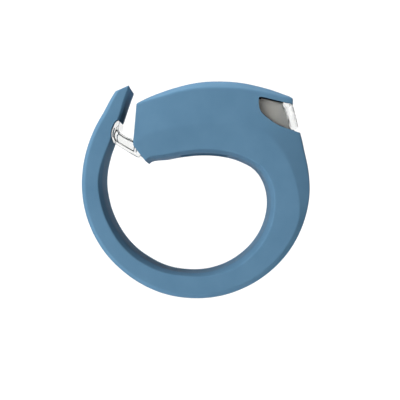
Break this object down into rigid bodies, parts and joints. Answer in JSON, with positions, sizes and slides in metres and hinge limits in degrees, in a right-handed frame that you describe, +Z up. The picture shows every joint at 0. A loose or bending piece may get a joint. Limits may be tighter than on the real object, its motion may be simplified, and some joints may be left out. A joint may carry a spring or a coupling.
{
  "type": "silicone strap safety light",
  "caption": "Small coin-cell LED safety light in a silicone skin: faceted head with a clear lens and hook, and an integral strap that closes round a bar or collar on the hook.",
  "frame": {"origin": "middle of the bar that the strap closes on, half way along the strap's width", "axes": "+Y along the bar, +Z up through the head, +X the way the light shines"},
  "size_m": [0.0425, 0.0256, 0.0407],
  "materials": {
    "silicone": "matte blue-grey silicone",
    "clear_plastic": "clear polycarbonate",
    "black_plastic": "matte black ABS",
    "seal": "black rubber",
    "board": "green solder mask",
    "silver_plating": "vacuum metallised plastic",
    "steel": "brushed stainless steel",
    "contact_brass": "sprung brass",
    "led_body": "cream ceramic and epoxy",
    "ceramic": "brown ceramic"
  },
  "bodies": {
    "root": {"silicone_skin": "silicone", "lens_housing": "clear_plastic", "base_plate": "black_plastic", "seal_ring": "seal", "circuit_board": "board", "microcontroller": "black_plastic", "resistor": "black_plastic", "capacitor": "ceramic", "led_board": "board", "led_near": "led_body", "led_far": "led_body", "led_lens_near": "clear_plastic", "led_lens_far": "clear_plastic", "reflector": "silver_plating", "coin_cell_lower": "steel", "coin_cell_upper": "steel", "contact_negative": "contact_brass", "contact_positive": "contact_brass", "switch_case": "black_plastic", "switch_dome": "steel"},
    "button": {"button_pad": "silicone", "button_cap": "black_plastic", "switch_plunger": "black_plastic"},
    "strap_1": {"strap_link_1": "silicone"},
    "strap_2": {"strap_link_2": "silicone"},
    "strap_3": {"strap_link_3": "silicone"},
    "strap_4": {"strap_link_4": "silicone"},
    "strap_5": {"strap_link_5": "silicone"},
    "strap_6": {"strap_link_6": "silicone"},
    "strap_end": {"strap_end": "silicone"}
  },
  "joints": [
    {"name": "strap_root_bend", "type": "hinge", "parent": "root", "child": "strap_1", "pos_m": [0.02194, 0, 0.00531], "axis": [0, -1, 0], "range_deg": [0, 2.01], "stiffness_Nm_per_rad": 0.1, "springref_deg": -2.29},
    {"name": "strap_bend_2", "type": "hinge", "parent": "strap_1", "child": "strap_2", "pos_m": [0.01818, 0, -0.0072], "axis": [0, -1, 0], "range_deg": [0, 4.01], "stiffness_Nm_per_rad": 0.05, "springref_deg": -2.29},
    {"name": "strap_bend_3", "type": "hinge", "parent": "strap_2", "child": "strap_3", "pos_m": [0.00746, 0, -0.01509], "axis": [0, -1, 0], "range_deg": [0, 8.01], "stiffness_Nm_per_rad": 0.035, "springref_deg": -2.29},
    {"name": "strap_bend_4", "type": "hinge", "parent": "strap_3", "child": "strap_4", "pos_m": [-0.0059, 0, -0.01506], "axis": [0, -1, 0], "range_deg": [0, 14.01], "stiffness_Nm_per_rad": 0.035, "springref_deg": -2.29},
    {"name": "strap_bend_5", "type": "hinge", "parent": "strap_4", "child": "strap_5", "pos_m": [-0.01657, 0, -0.00717], "axis": [0, -1, 0], "range_deg": [0, 22.01], "stiffness_Nm_per_rad": 0.025, "springref_deg": -2.29},
    {"name": "strap_open", "type": "hinge", "parent": "strap_5", "child": "strap_6", "pos_m": [-0.02056, 0, 0.00532], "axis": [0, -1, 0], "range_deg": [0, 26], "stiffness_Nm_per_rad": 0.02, "springref_deg": -2.29},
    {"name": "strap_bend_7", "type": "hinge", "parent": "strap_6", "child": "strap_end", "pos_m": [-0.01985, 0, 0.01087], "axis": [0, -1, 0], "range_deg": [0, 18.01], "stiffness_Nm_per_rad": 0.02, "springref_deg": -2.29},
    {"name": "button_press", "type": "slide", "parent": "root", "child": "button", "axis": [0, 0, -1], "range_m": [0, 0.0003], "stiffness_N_per_m": 400, "springref_m": -0.0002, "deforming": ["switch_dome"]}
  ],
  "couplings": [
    {"joint": "strap_root_bend", "follows": "strap_open", "ratio": 0.076923},
    {"joint": "strap_bend_2", "follows": "strap_open", "ratio": 0.15385},
    {"joint": "strap_bend_3", "follows": "strap_open", "ratio": 0.30769},
    {"joint": "strap_bend_4", "follows": "strap_open", "ratio": 0.53846},
    {"joint": "strap_bend_5", "follows": "strap_open", "ratio": 0.84615},
    {"joint": "strap_bend_7", "follows": "strap_open", "ratio": 0.69231}
  ]
}
